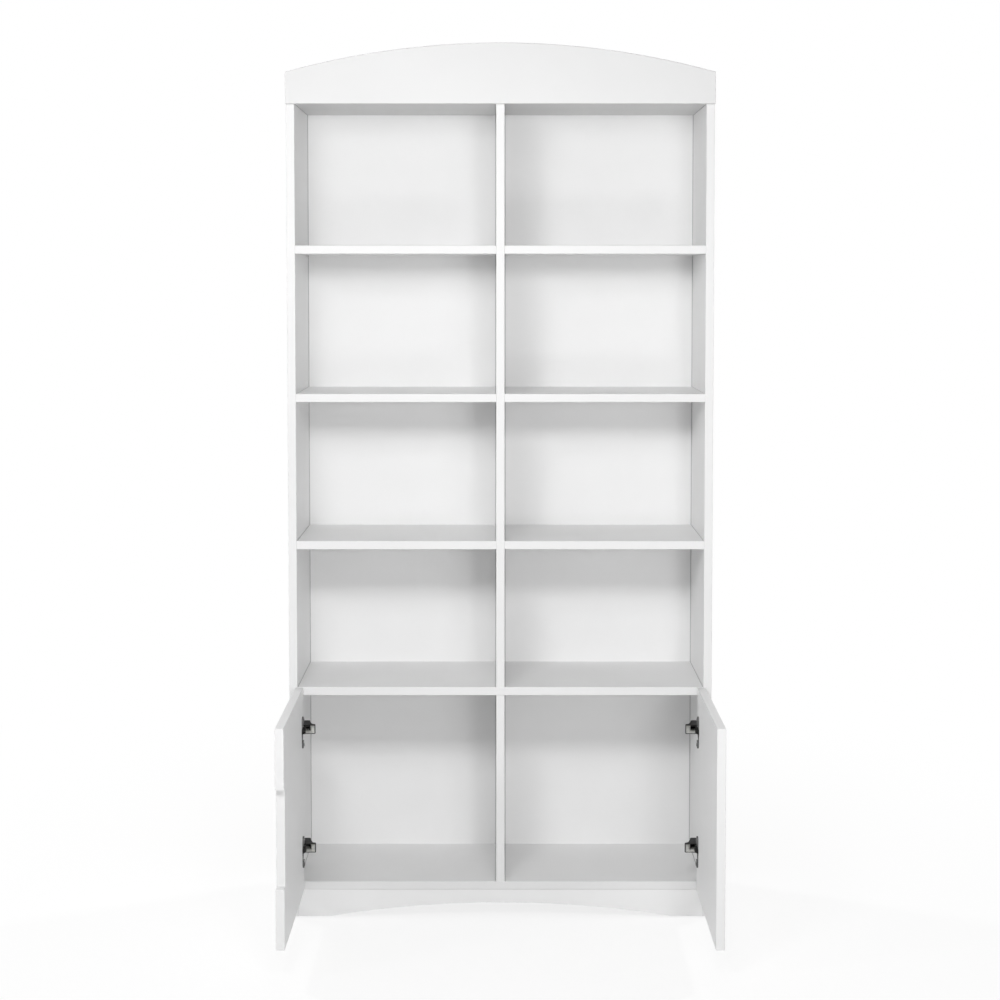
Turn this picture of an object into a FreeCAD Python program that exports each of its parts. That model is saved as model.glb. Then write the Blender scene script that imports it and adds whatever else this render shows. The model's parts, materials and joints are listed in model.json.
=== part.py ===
import FreeCAD, Part
import cmath
import math
import os

# Bookcase with an arched crown, eight open bays and a two-door cabinet below.
# Millimetres, +Z up, front towards -Y, both doors standing open at a right angle.
# The origin is on the floor, in the middle of the ground that the open bookcase covers.

# Carcass
carcass_width = 820.0
carcass_depth = 300.0
board = 16.0
back_sheet = 3.0
arris = 1.0
plinth_height = 53.0
cabinet_clear = 367.0
bay_clear = 269.0
bay_count = 4
glide_height = 3.0
glide_radius = 7.0
glide_inset = 40.0
glide_stem_radius = 1.5
glide_stem_length = 14.0

# Crown and plinth outlines
crown_end_height = 60.0
crown_rise = 55.0
plinth_setback = 2.0
plinth_foot = 61.0
plinth_rise = 27.0

# Doors
door_gap = 2.0
door_side_reveal = 0.5
door_meeting_gap = 3.0
door_top_reveal = 1.0
notch_length = 178.0
notch_depth = 18.0
notch_radius = 3.0

# Where an open door stands, from the inner face of the side and from the front edges
open_inset = 11.3
open_lead = 2.5

# Hinge places and linkage
hinge_end_distance = 82.0
pivot_setback = 12.0
pivot_sink = 1.6
link_swing = 57.0
link_bow = 3.2
link_thickness = 1.6
link_side_clearance = 0.35
link_eye_radius = 2.2
pin_radius = 1.25
pin_head = 0.6
running_clearance = 0.05
fixed_clearance = 0.03

# Hinge cup let into the door
cup_radius = 17.5
cup_depth = 11.5
cup_wall = 1.2
cup_setback = 22.0
cup_pocket_clearance = 0.1
flange_width = 17.0
flange_thickness = 1.0
flange_offset = 6.0
ear_thickness = 3.0
ear_start = 14.0
ear_round = 0.8
cup_screw_spacing = 48.0
cup_screw_margin = 7.0

# Hinge arm and its mounting plate on the side panel
arm_wall = 1.4
arm_width = 17.5
arm_reach = 34.0
arm_shoulder = 27.0
arm_heel = 21.0
arm_length = 48.0
arm_step_front = 7.0
arm_step_rear = 12.0
arm_taper_end = 34.0
arm_bend = 3.0
arm_tail_radius = 6.0
arm_eye_radius = 3.2
plate_height = 8.5
plate_front = 20.0
plate_ledge = 0.25
plate_rail = 2.5
plate_rail_clearance = 0.35
wing_thickness = 2.5
wing_width = 14.0
wing_setback = 36.0
plate_screw_spacing = 32.0
plate_screw_margin = 8.0

# Screws
screw_radius = 1.75
screw_length = 12.0
screw_head_radius = 3.4
screw_head_height = 1.4
clamp_setback = 38.0
clamp_radius = 2.2
clamp_head_radius = 3.6
clamp_head_height = 1.8
clamp_seat = 3.0

# Fittings inside the joints
dowel_radius = 4.0
dowel_in_edge = 20.0
dowel_in_face = 7.0
dowel_clearance = 0.1
dowel_end_gap = 0.5
cam_radius = 7.5
cam_height = 12.5
cam_setback = 34.0
cam_clearance = 0.1
bolt_thread_radius = 2.5
bolt_thread_length = 10.0
bolt_shaft_radius = 2.5
bolt_head_radius = 3.5
bolt_head_length = 5.0
bolt_overlap = 3.0
bolt_hole_radius = 4.0
cam_inset = 50.0
dowel_inset = 90.0
crown_cam_place = 190.0
crown_dowel_place = 330.0
plinth_dowel_place = 200.0
divider_dowel_inset = 60.0

# Back sheets and their nails
back_edge_reveal = 1.0
back_seam = 1.0
nail_radius = 0.8
nail_length = 18.0
nail_head_radius = 1.9
nail_head_height = 0.7
nail_clearance = 0.05
nail_end_inset = 30.0
nail_rows = 7
nail_columns = 2

# Wall angles on the top panel
angle_width = 20.0
angle_leg = 40.0
angle_rise = 35.0
angle_thickness = 2.0
angle_place = 300.0
angle_hole_radius = 2.75
angle_hole_height = 24.0
angle_screw_distance = 26.0

overrun = 1.0

# Derived places
half_width = carcass_width / 2
inner_half = half_width - board
door_width = half_width - door_side_reveal - door_meeting_gap / 2
door_reach = open_lead + door_width
whole_depth = carcass_depth + back_sheet
front_y = (door_reach - whole_depth) / 2
rear_y = front_y + carcass_depth
wall_y = front_y + whole_depth
bottom_low = glide_height + plinth_height
bottom_high = bottom_low + board
middle_low = bottom_high + cabinet_clear
middle_high = middle_low + board
bay_pitch = bay_clear + board
top_low = middle_high + bay_count * bay_pitch - board
top_high = top_low + board
door_low = bottom_low
door_high = middle_high - door_top_reveal
hinge_heights = {"lower": door_low + hinge_end_distance, "upper": door_high - hinge_end_distance}
divider_half = board / 2
arm_room = arm_width - 2 * arm_wall
link_width = arm_room - 2 * link_side_clearance
plate_rail_width = arm_room - 2 * plate_rail_clearance
plate_width = arm_width + 2 * plate_ledge

X_AXIS = FreeCAD.Vector(1, 0, 0)
Y_AXIS = FreeCAD.Vector(0, 1, 0)
Z_AXIS = FreeCAD.Vector(0, 0, 1)

drillings = {}
fittings = {"wooden_dowels": [], "cam_housings": [], "cam_bolts": [], "back_nails": []}


def box(x0, x1, y0, y1, z0, z1):
    """A block between two corners."""
    return Part.makeBox(x1 - x0, y1 - y0, z1 - z0, FreeCAD.Vector(x0, y0, z0))


def rod(radius, length, start, axis):
    """A round bar from a start point along an axis."""
    return Part.makeCylinder(radius, length, start, axis)


def prism(points, travel):
    """A polygon pushed along a vector."""
    face = Part.Face(Part.makePolygon(points + points[:1]))
    return face.extrude(travel)


def mirrored(shape):
    """The same piece on the right-hand half."""
    return shape.mirror(FreeCAD.Vector(), X_AXIS)


def soften(shape, chosen, radius=arris):
    """Round the edges that a test picks."""
    edges = [edge for edge in shape.Edges if chosen(edge)]
    return shape.makeFillet(radius, edges)


def runs_along(edge, axis):
    """True for a straight edge that is parallel to an axis."""
    if not isinstance(edge.Curve, Part.Line):
        return False
    return abs(abs(edge.Curve.Direction.dot(axis)) - 1) < Part.Precision.confusion()


def soft_front(shape, axis):
    """Round the two long arrises of a banded front edge."""
    front = shape.BoundBox.YMin

    def chosen(edge):
        return runs_along(edge, axis) and edge.BoundBox.YMax - front < Part.Precision.confusion()

    return soften(shape, chosen)


def drill(node, cutter):
    """Remember a hole that a board gets."""
    drillings.setdefault(node, []).append(cutter)


def drilled(node, shape):
    """The board with all its holes cut."""
    cutters = drillings.get(node, [])
    return shape.cut(cutters) if cutters else shape


def dowel_joint(point, axis, edge_node, face_node):
    """A dowel from the edge of one board, reaching along the axis into the face of the next."""
    start = point - axis * dowel_in_edge
    length = dowel_in_edge + dowel_in_face
    fittings["wooden_dowels"].append(rod(dowel_radius, length, start, axis))
    hole_start = start - axis * dowel_end_gap
    hole = rod(dowel_radius + dowel_clearance, length + 2 * dowel_end_gap, hole_start, axis)
    drill(edge_node, hole)
    drill(face_node, hole)


def cam_joint(point, axis, edge_node, face_node, face_level, inward):
    """A cam in the edge board that pulls on a bolt screwed into the face of the next board."""
    thread = rod(bolt_thread_radius, bolt_thread_length, point, axis)
    shaft_length = cam_setback + bolt_overlap
    shaft = rod(bolt_shaft_radius, shaft_length, point, -axis)
    head_start = point - axis * (shaft_length - bolt_head_length)
    head = rod(bolt_head_radius, bolt_head_length, head_start, -axis)
    fittings["cam_bolts"].append(thread.fuse([shaft, head]).removeSplitter())
    bolt_hole = rod(bolt_hole_radius, shaft_length + bolt_overlap, point, -axis)
    thread_hole = rod(bolt_thread_radius + fixed_clearance, bolt_thread_length + dowel_end_gap, point, axis)
    centre = point - axis * cam_setback
    centre.z = face_level
    cam_axis = Z_AXIS * inward
    cam = rod(cam_radius, cam_height, centre, cam_axis).cut(bolt_hole)
    fittings["cam_housings"].append(cam)
    pocket = rod(cam_radius + cam_clearance, cam_height + cam_clearance, centre, cam_axis)
    drill(edge_node, bolt_hole)
    drill(edge_node, pocket)
    drill(face_node, thread_hole)


def side_panel():
    """A tall side, from the glides to the top of the carcass."""
    panel = box(-half_width, -inner_half, front_y, rear_y, glide_height, top_high)
    return soft_front(panel, Z_AXIS)


def lying_board(x0, x1, low):
    """A shelf, top or bottom between two upright boards."""
    return soft_front(box(x0, x1, front_y, rear_y, low, low + board), X_AXIS)


def divider(low, high):
    """An upright between two lying boards, in the middle of the width."""
    return soft_front(box(-divider_half, divider_half, front_y, rear_y, low, high), Z_AXIS)


def crown_board():
    """The arched board in front of the carcass top."""
    ends = top_low + crown_end_height
    back_y = front_y
    corners = [
        FreeCAD.Vector(half_width, back_y, ends),
        FreeCAD.Vector(half_width, back_y, top_low),
        FreeCAD.Vector(-half_width, back_y, top_low),
        FreeCAD.Vector(-half_width, back_y, ends),
    ]
    apex = FreeCAD.Vector(0, back_y, ends + crown_rise)
    arch = Part.Arc(corners[3], apex, corners[0]).toShape()
    outline = Part.Wire(Part.makePolygon(corners).Edges + [arch])
    solid = Part.Face(outline).extrude(-Y_AXIS * board)
    face_y = front_y - board

    def chosen(edge):
        return abs(edge.BoundBox.YMax - face_y) < arris / 2

    return soften(solid, chosen)


def plinth_board():
    """The toe board between the sides, arched up between two feet."""
    arch_half = inner_half - plinth_foot
    face_y = front_y + plinth_setback
    low = glide_height
    feet = [
        FreeCAD.Vector(arch_half, face_y, low),
        FreeCAD.Vector(inner_half, face_y, low),
        FreeCAD.Vector(inner_half, face_y, bottom_low),
        FreeCAD.Vector(-inner_half, face_y, bottom_low),
        FreeCAD.Vector(-inner_half, face_y, low),
        FreeCAD.Vector(-arch_half, face_y, low),
    ]
    crest = FreeCAD.Vector(0, face_y, low + plinth_rise)
    arch = Part.Arc(feet[5], crest, feet[0]).toShape()
    outline = Part.Wire(Part.makePolygon(feet).Edges + [arch])
    return Part.Face(outline).extrude(Y_AXIS * board)


def back_panel():
    """The left half of the hardboard back, meeting the other half behind the divider."""
    low = bottom_low + back_edge_reveal
    high = top_high - back_edge_reveal
    return box(-half_width + back_edge_reveal, -back_seam / 2, rear_y, wall_y, low, high)


def door_panel(notched):
    """The left door, open: its inner face looks to +X and its free edge to -Y."""
    inner = -inner_half + open_inset
    hinge_end = front_y - open_lead
    free_end = hinge_end - door_width
    panel = box(inner - board, inner, free_end, hinge_end, door_low, door_high)
    if notched:
        middle = (door_low + door_high) / 2
        low = middle - notch_length / 2
        high = middle + notch_length / 2
        floor = free_end + notch_depth
        gap = box(inner - board - overrun, inner + overrun, free_end - overrun, floor, low, high)
        panel = panel.cut(gap)

        def in_corner(edge):
            centre = edge.BoundBox.Center
            at_floor = abs(centre.y - floor) < Part.Precision.confusion()
            return runs_along(edge, X_AXIS) and at_floor

        panel = soften(panel, in_corner, notch_radius)

    def on_faces(edge):
        bound = edge.BoundBox
        return bound.XLength < Part.Precision.confusion()

    return soften(panel, on_faces)


def plan(place, z=0.0):
    """A point of the left hinge: real part into the cabinet, imaginary part to the front."""
    return FreeCAD.Vector(place.real - inner_half, front_y - place.imag, z)


def hinge_pivots():
    """The arm pivot and the open door pivot, for a link that turns back as the door opens."""
    closed_edge = complex(door_side_reveal - board, door_gap)
    closed = closed_edge + complex(pivot_setback, pivot_sink)
    opened = complex(open_inset - pivot_sink, open_lead + pivot_setback)
    turn = cmath.exp(-1j * math.radians(link_swing))
    return (opened - turn * closed) / (1 - turn), opened


def hinge_link():
    """A bowed link of pressed steel with an eye at each end."""
    arm_end, door_end = hinge_pivots()
    half = link_width / 2
    span = door_end - arm_end
    along = span / abs(span)
    aside = -1j * along
    radius = (abs(span) ** 2 / 4 + link_bow ** 2) / (2 * link_bow)
    crest = (arm_end + door_end) / 2 + aside * link_bow
    centre = crest - aside * radius

    def bow(offset):
        reach = (radius + offset) / radius
        stops = [centre + (stop - centre) * reach for stop in (arm_end, crest, door_end)]
        return [plan(stop, -half) for stop in stops]

    outer = bow(link_thickness / 2)
    inner = bow(-link_thickness / 2)
    outline = Part.Wire([
        Part.Arc(*outer).toShape(),
        Part.makeLine(outer[2], inner[2]),
        Part.Arc(*reversed(inner)).toShape(),
        Part.makeLine(inner[0], outer[0]),
    ])
    web = Part.Face(outline).extrude(Z_AXIS * link_width)
    ends = [plan(end, -half) for end in (arm_end, door_end)]
    eyes = [rod(link_eye_radius, link_width, end, Z_AXIS) for end in ends]
    bores = [rod(pin_radius + running_clearance, link_width, end, Z_AXIS) for end in ends]
    return web.fuse(eyes).cut(bores).removeSplitter()


def arm_pin():
    """The rivet that carries a link in the arm."""
    arm_end, _ = hinge_pivots()
    half = arm_width / 2 + pin_head
    return rod(pin_radius, 2 * half, plan(arm_end, -half), Z_AXIS)


def cup_chord(offset):
    """Half the width of the cup at a distance from its middle."""
    return math.sqrt(cup_radius ** 2 - offset ** 2)


def cup_pin():
    """The rivet that carries a link in the cup."""
    _, door_end = hinge_pivots()
    half = cup_chord(cup_setback - pivot_setback + pin_radius)
    return rod(pin_radius, 2 * half, plan(door_end, -half), Z_AXIS)


def cup_centre(depth):
    """The middle of the cup at a depth below the inner face of the open door."""
    return plan(complex(open_inset - depth, open_lead + cup_setback))


def cup_screw_places():
    """The flange screws of one cup, on the inner face of the door."""
    place = plan(complex(open_inset, open_lead + cup_setback + flange_offset))
    return [place + Z_AXIS * side * cup_screw_spacing / 2 for side in (-1, 1)]


def flange_blank(middle, thickness):
    """The long round-ended outline of a cup flange, raised to a thickness."""
    end_radius = flange_width / 2
    straight = cup_screw_spacing + 2 * cup_screw_margin - flange_width
    corner = middle - Y_AXIS * end_radius - Z_AXIS * straight / 2
    strip = Part.makeBox(thickness, flange_width, straight, corner)
    ends = [
        rod(end_radius, thickness, middle + Z_AXIS * side * straight / 2, X_AXIS)
        for side in (-1, 1)
    ]
    return strip.fuse(ends).removeSplitter()


def flange_ears(middle):
    """The raised ends of the flange, which the screws hold, rounded over on top."""
    corner = middle - Y_AXIS * flange_width - Z_AXIS * ear_start
    gap = Part.makeBox(ear_thickness, 2 * flange_width, 2 * ear_start, corner)
    ears = flange_blank(middle, ear_thickness).cut(gap)
    top = ears.BoundBox.XMax

    def on_top(edge):
        return top - edge.BoundBox.XMin < Part.Precision.confusion()

    return soften(ears, on_top, ear_round)


def hinge_cup():
    """A deep-drawn cup with a long flange, open towards the cabinet."""
    _, door_end = hinge_pivots()
    shell = rod(cup_radius, cup_depth, cup_centre(0), -X_AXIS)
    hollow_depth = cup_depth - cup_wall + ear_thickness
    hollow = rod(cup_radius - cup_wall, hollow_depth, cup_centre(-ear_thickness), -X_AXIS)
    middle = plan(complex(open_inset, open_lead + cup_setback + flange_offset))
    flange = flange_blank(middle, flange_thickness)
    holes = [
        rod(screw_radius + fixed_clearance, ear_thickness, place, X_AXIS)
        for place in cup_screw_places()
    ]
    chord = cup_chord(cup_setback - pivot_setback)
    pin_hole = rod(pin_radius + fixed_clearance, 2 * chord, plan(door_end, -chord), Z_AXIS)
    solid = shell.fuse([flange, flange_ears(middle)]).removeSplitter()
    return solid.cut([hollow, pin_hole] + holes)


def flange_screw(place):
    """A pan-head screw through an ear of the cup flange into the door."""
    seat = place + X_AXIS * ear_thickness
    shank = rod(screw_radius, screw_length, seat, -X_AXIS)
    return shank.fuse(screw_head(seat, X_AXIS)).removeSplitter()


def screw_head(seat, axis):
    """A low pan head, drawn in towards its top."""
    top_radius = screw_head_radius - screw_head_height / 2
    return Part.makeCone(screw_head_radius, top_radius, screw_head_height, seat, axis)


def along_any(corners):
    """A test for the upright edges of a hinge piece that pass through one of these corners."""
    places = [plan(corner) for corner in corners]

    def test(edge):
        centre = edge.BoundBox.Center
        near = [place for place in places if (centre - place).Length < Part.Precision.confusion()]
        return runs_along(edge, Z_AXIS) and bool(near)

    return test


def hinge_arm():
    """A pressed channel, tall at the door and low over its plate, open towards the side."""
    arm_end, _ = hinge_pivots()
    half = arm_width / 2
    nose = arm_end.imag + arm_eye_radius
    cheek = [
        complex(arm_end.real, nose),
        complex(arm_reach, nose),
        complex(arm_reach, -arm_step_front),
        complex(arm_shoulder, -arm_step_rear),
        complex(arm_heel, -arm_taper_end),
        complex(arm_heel, -arm_length),
        complex(plate_height, -arm_length),
        complex(plate_height, -plate_front),
        complex(arm_end.real - arm_eye_radius, arm_end.imag),
    ]
    solid = prism([plan(corner, -half) for corner in cheek], Z_AXIS * arm_width)
    solid = soften(solid, along_any(cheek[1:5]), arm_bend)
    solid = soften(solid, along_any(cheek[5:6]), arm_tail_radius)
    solid = solid.fuse(rod(arm_eye_radius, arm_width, plan(arm_end, -half), Z_AXIS))
    tail = arm_length - arm_wall
    hollow = [
        complex(-overrun, nose + overrun),
        complex(arm_reach - arm_wall, nose + overrun),
        complex(arm_reach - arm_wall, -arm_step_front),
        complex(arm_shoulder - arm_wall, -arm_step_rear),
        complex(arm_heel - arm_wall, -arm_taper_end),
        complex(arm_heel - arm_wall, -tail),
        complex(-overrun, -tail),
    ]
    channel = prism([plan(corner, -arm_room / 2) for corner in hollow], Z_AXIS * arm_room)
    channel = soften(channel, along_any(hollow[5:6]), arm_tail_radius - arm_wall)
    pin_hole = rod(pin_radius + fixed_clearance, arm_width, plan(arm_end, -half), Z_AXIS)
    clamp_start = plan(complex(plate_height, -clamp_setback))
    clamp_hole = rod(clamp_radius + fixed_clearance, arm_heel, clamp_start, X_AXIS)
    return solid.cut([channel, pin_hole, clamp_hole]).removeSplitter()


def plate_screw_places():
    """The two screws of a mounting plate, on the inner face of the side."""
    place = plan(complex(0, -wing_setback))
    return [place + Z_AXIS * side * plate_screw_spacing / 2 for side in (-1, 1)]


def mounting_plate():
    """A cross-shaped plate: a block that carries the arm, with a screwed wing above and below."""
    half = plate_width / 2
    block_start = plan(complex(0, -plate_front), -half)
    block_length = arm_length - plate_front
    block = Part.makeBox(plate_height, block_length, plate_width, block_start)
    rail_start = plan(complex(plate_height, -plate_front), -plate_rail_width / 2)
    rail_length = block_length - arm_wall - plate_rail_clearance
    rail = Part.makeBox(plate_rail, rail_length, plate_rail_width, rail_start)
    straight = plate_screw_spacing + 2 * plate_screw_margin - wing_width
    middle = plan(complex(0, -wing_setback))
    wing = Part.makeBox(
        wing_thickness, wing_width, straight,
        middle - Y_AXIS * wing_width / 2 - Z_AXIS * straight / 2,
    )
    ends = [
        rod(wing_width / 2, wing_thickness, middle + Z_AXIS * side * straight / 2, X_AXIS)
        for side in (-1, 1)
    ]
    plate = block.fuse([rail, wing] + ends).removeSplitter()
    holes = [
        rod(screw_radius + fixed_clearance, wing_thickness, place, X_AXIS)
        for place in plate_screw_places()
    ]
    seat = plan(complex(clamp_seat, -clamp_setback))
    holes.append(rod(clamp_radius + fixed_clearance, plate_height, seat, X_AXIS))
    return plate.cut(holes)


def wing_screw(place):
    """A pan-head screw through a plate wing into the side."""
    seat = place + X_AXIS * wing_thickness
    shank = rod(screw_radius, screw_length, seat, -X_AXIS)
    return shank.fuse(screw_head(seat, X_AXIS)).removeSplitter()


def clamp_screw():
    """The screw that holds the arm on its plate."""
    seat = plan(complex(arm_heel, -clamp_setback))
    tip = plan(complex(clamp_seat, -clamp_setback))
    shank = rod(clamp_radius, arm_heel - clamp_seat, tip, X_AXIS)
    head = rod(clamp_head_radius, clamp_head_height, seat, X_AXIS)
    return shank.fuse(head).removeSplitter()


def glide(x, y):
    """A plastic foot nailed under a side."""
    foot = Part.makeCone(glide_radius - arris, glide_radius, arris, FreeCAD.Vector(x, y, 0))
    disc = rod(glide_radius, glide_height - arris, FreeCAD.Vector(x, y, arris), Z_AXIS)
    stem = rod(glide_stem_radius, glide_stem_length, FreeCAD.Vector(x, y, glide_height), Z_AXIS)
    return foot.fuse([disc, stem]).removeSplitter()


def wall_angle():
    """A steel angle on the top panel, with one hole for a wall screw."""
    left = -angle_place - angle_width / 2
    right = left + angle_width
    leg = box(left, right, wall_y - angle_leg, wall_y, top_high, top_high + angle_thickness)
    rise = box(left, right, wall_y - angle_thickness, wall_y, top_high, top_high + angle_rise)
    place = FreeCAD.Vector(-angle_place, wall_y, top_high + angle_hole_height)
    wall_hole = rod(angle_hole_radius, angle_thickness, place, -Y_AXIS)
    screw_hole = rod(screw_radius + fixed_clearance, angle_thickness, angle_screw_place(), Z_AXIS)
    return leg.fuse(rise).removeSplitter().cut([wall_hole, screw_hole])


def angle_screw_place():
    """Where a wall angle is screwed to the top panel."""
    return FreeCAD.Vector(-angle_place, wall_y - angle_screw_distance, top_high)


def angle_screw():
    """A pan-head screw through a wall angle into the top panel."""
    seat = angle_screw_place() + Z_AXIS * angle_thickness
    shank = rod(screw_radius, screw_length, seat, -Z_AXIS)
    return shank.fuse(screw_head(seat, Z_AXIS)).removeSplitter()


def nail(x, z, sheet, behind):
    """A nail driven flush through a back sheet into the edge of the board behind it."""
    point = FreeCAD.Vector(x, wall_y, z)
    shank = rod(nail_radius, nail_length, point, -Y_AXIS)
    head = rod(nail_head_radius, nail_head_height, point, -Y_AXIS)
    fittings["back_nails"].append(shank.fuse(head).removeSplitter())
    hole = rod(nail_radius + nail_clearance, nail_length + nail_clearance, point, -Y_AXIS)
    seat = rod(nail_head_radius + nail_clearance, nail_head_height + nail_clearance, point, -Y_AXIS)
    drill(sheet, hole.fuse(seat).removeSplitter())
    drill(behind, hole)


def spread(low, high, count):
    """Evenly spaced places from low to high."""
    return [low + (high - low) * step / (count - 1) for step in range(count)]


sides = {"left": -1, "right": 1}
across = {"left": -X_AXIS, "right": X_AXIS}
floors = {"top_panel": top_low, "bottom_panel": bottom_low, "cabinet_top": middle_low}

# Short shelves between a side and the divider, counted from the top bay
shelf_names = ["upper", "middle", "lower"]
shelves = {}
for order, name in enumerate(shelf_names):
    level = top_low - (order + 1) * bay_pitch
    for side in sides:
        shelves[f"{name}_shelf_{side}"] = (side, level)

# Cams and dowels between the full-width boards and the sides
for node, low in floors.items():
    cam_face = low + board if node == "top_panel" else low
    inward = -1 if node == "top_panel" else 1
    for side, sign in sides.items():
        for place in (cam_inset, carcass_depth - cam_inset):
            point = FreeCAD.Vector(sign * inner_half, front_y + place, low + board / 2)
            cam_joint(point, across[side], node, f"{side}_side_panel", cam_face, inward)
        for place in (dowel_inset, carcass_depth - dowel_inset):
            point = FreeCAD.Vector(sign * inner_half, front_y + place, low + board / 2)
            dowel_joint(point, across[side], node, f"{side}_side_panel")

# Dowels of the short shelves, in the side and in the divider
for node, (side, low) in shelves.items():
    sign = sides[side]
    for place in (dowel_inset, carcass_depth - dowel_inset):
        outer = FreeCAD.Vector(sign * inner_half, front_y + place, low + board / 2)
        dowel_joint(outer, across[side], node, f"{side}_side_panel")
        middle = FreeCAD.Vector(sign * divider_half, front_y + place, low + board / 2)
        dowel_joint(middle, -across[side], node, "upper_divider")

# Dowels at the ends of the two dividers
divider_ends = [
    ("upper_divider", top_low, Z_AXIS, "top_panel"),
    ("upper_divider", middle_high, -Z_AXIS, "cabinet_top"),
    ("lower_divider", middle_low, Z_AXIS, "cabinet_top"),
    ("lower_divider", bottom_high, -Z_AXIS, "bottom_panel"),
]
for node, level, axis, other in divider_ends:
    for place in (divider_dowel_inset, carcass_depth - divider_dowel_inset):
        dowel_joint(FreeCAD.Vector(0, front_y + place, level), axis, node, other)

# The crown is doweled and cammed to the front edge of the top panel
for sign in (-1, 1):
    point = FreeCAD.Vector(sign * crown_cam_place, front_y, top_low + board / 2)
    cam_joint(point, -Y_AXIS, "top_panel", "crown_board", top_high, -1)
    point = FreeCAD.Vector(sign * crown_dowel_place, front_y, top_low + board / 2)
    dowel_joint(point, -Y_AXIS, "top_panel", "crown_board")

# The plinth is doweled to both sides and to the bottom panel
plinth_middle = front_y + plinth_setback + board / 2
for side, sign in sides.items():
    point = FreeCAD.Vector(sign * inner_half, plinth_middle, glide_height + plinth_height / 2)
    dowel_joint(point, across[side], "plinth_board", f"{side}_side_panel")
    point = FreeCAD.Vector(sign * plinth_dowel_place, plinth_middle, bottom_low)
    dowel_joint(point, Z_AXIS, "plinth_board", "bottom_panel")

# Nails round each back sheet
nail_low = bottom_low + board / 2
nail_high = top_low + board / 2
for side, sign in sides.items():
    sheet = f"back_panel_{side}"
    edge_x = sign * (half_width - board / 2)
    seam_x = sign * (divider_half + back_seam / 2) / 2
    for z in spread(middle_high + nail_end_inset, top_low - nail_end_inset, nail_rows):
        nail(edge_x, z, sheet, f"{side}_side_panel")
        nail(seam_x, z, sheet, "upper_divider")
    for z in spread(bottom_high + nail_end_inset, middle_low - nail_end_inset, nail_columns):
        nail(edge_x, z, sheet, f"{side}_side_panel")
        nail(seam_x, z, sheet, "lower_divider")
    for share_step in range(nail_columns):
        x = sign * inner_half * (share_step + 1) / (nail_columns + 1)
        nail(x, nail_low, sheet, "bottom_panel")
        nail(x, nail_high, sheet, "top_panel")

# Glides under the sides
glides = []
for sign in (-1, 1):
    for place in (glide_inset, carcass_depth - glide_inset):
        x = sign * (half_width - board / 2)
        glides.append(glide(x, front_y + place))
        stem_start = FreeCAD.Vector(x, front_y + place, glide_height)
        stem_hole = rod(glide_stem_radius + fixed_clearance, glide_stem_length, stem_start, Z_AXIS)
        drill("left_side_panel" if sign < 0 else "right_side_panel", stem_hole)

# Holes that the hinges and the wall angles need, drawn for the left half
for height in hinge_heights.values():
    lift = Z_AXIS * height
    pocket_depth = cup_depth + cup_pocket_clearance
    pocket = rod(cup_radius + cup_pocket_clearance, pocket_depth, cup_centre(0) + lift, -X_AXIS)
    drill("left_door", pocket)
    drill("right_door", mirrored(pocket))
    for place in cup_screw_places():
        depth = screw_length - ear_thickness + fixed_clearance
        hole = rod(screw_radius + fixed_clearance, depth, place + lift, -X_AXIS)
        drill("left_door", hole)
        drill("right_door", mirrored(hole))
    for place in plate_screw_places():
        depth = screw_length - wing_thickness + fixed_clearance
        hole = rod(screw_radius + fixed_clearance, depth, place + lift, -X_AXIS)
        drill("left_side_panel", hole)
        drill("right_side_panel", mirrored(hole))
angle_hole_depth = screw_length - angle_thickness + fixed_clearance
angle_hole = rod(screw_radius + fixed_clearance, angle_hole_depth, angle_screw_place(), -Z_AXIS)
drill("top_panel", angle_hole)
drill("top_panel", mirrored(angle_hole))

# Boards
boards = {
    "left_side_panel": side_panel(),
    "right_side_panel": mirrored(side_panel()),
    "top_panel": lying_board(-inner_half, inner_half, top_low),
    "cabinet_top": lying_board(-inner_half, inner_half, middle_low),
    "bottom_panel": lying_board(-inner_half, inner_half, bottom_low),
    "upper_divider": divider(middle_high, top_low),
    "lower_divider": divider(bottom_high, middle_low),
    "crown_board": crown_board(),
    "plinth_board": plinth_board(),
    "back_panel_left": back_panel(),
    "back_panel_right": mirrored(back_panel()),
    "left_door": door_panel(True),
    "right_door": mirrored(door_panel(False)),
}
for node, (side, low) in shelves.items():
    shelf = lying_board(-inner_half, -divider_half, low)
    boards[node] = shelf if side == "left" else mirrored(shelf)

nodes = {node: drilled(node, shape) for node, shape in boards.items()}

# Hinges, one of each piece per corner, drawn on the left and mirrored
hinge_pieces = {
    "hinge_arm": hinge_arm(),
    "hinge_plate": mounting_plate(),
    "hinge_cup": hinge_cup(),
    "hinge_link": hinge_link(),
}
small_pieces = {
    "hinge_arm_pins": [arm_pin()],
    "cup_pins": [cup_pin()],
    "cup_screws": [flange_screw(place) for place in cup_screw_places()],
    "hinge_plate_screws": [wing_screw(place) for place in plate_screw_places()],
    "hinge_clamp_screws": [clamp_screw()],
}
door_groups = ("cup_pins", "cup_screws")
groups = {}
for side in sides:
    for corner, height in hinge_heights.items():
        lift = Z_AXIS * height
        for piece, shape in hinge_pieces.items():
            placed = shape.translated(lift)
            nodes[f"{corner}_{side}_{piece}"] = placed if side == "left" else mirrored(placed)
        for group, shapes in small_pieces.items():
            name = f"{side}_{group}" if group in door_groups else group
            placed = [shape.translated(lift) for shape in shapes]
            if side == "right":
                placed = [mirrored(shape) for shape in placed]
            groups.setdefault(name, []).extend(placed)

groups.update(fittings)
groups["floor_glides"] = glides
groups["wall_angles"] = [wall_angle(), mirrored(wall_angle())]
groups["wall_angle_screws"] = [angle_screw(), mirrored(angle_screw())]
for name, shapes in groups.items():
    nodes[name] = Part.makeCompound(shapes)

os.makedirs("parts", exist_ok=True)
for name, shape in nodes.items():
    shape.exportStep(f"parts/{name}.step")
    print(name, len(shape.Solids), "solids", round(shape.Volume), "mm3", shape.isValid())

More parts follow.
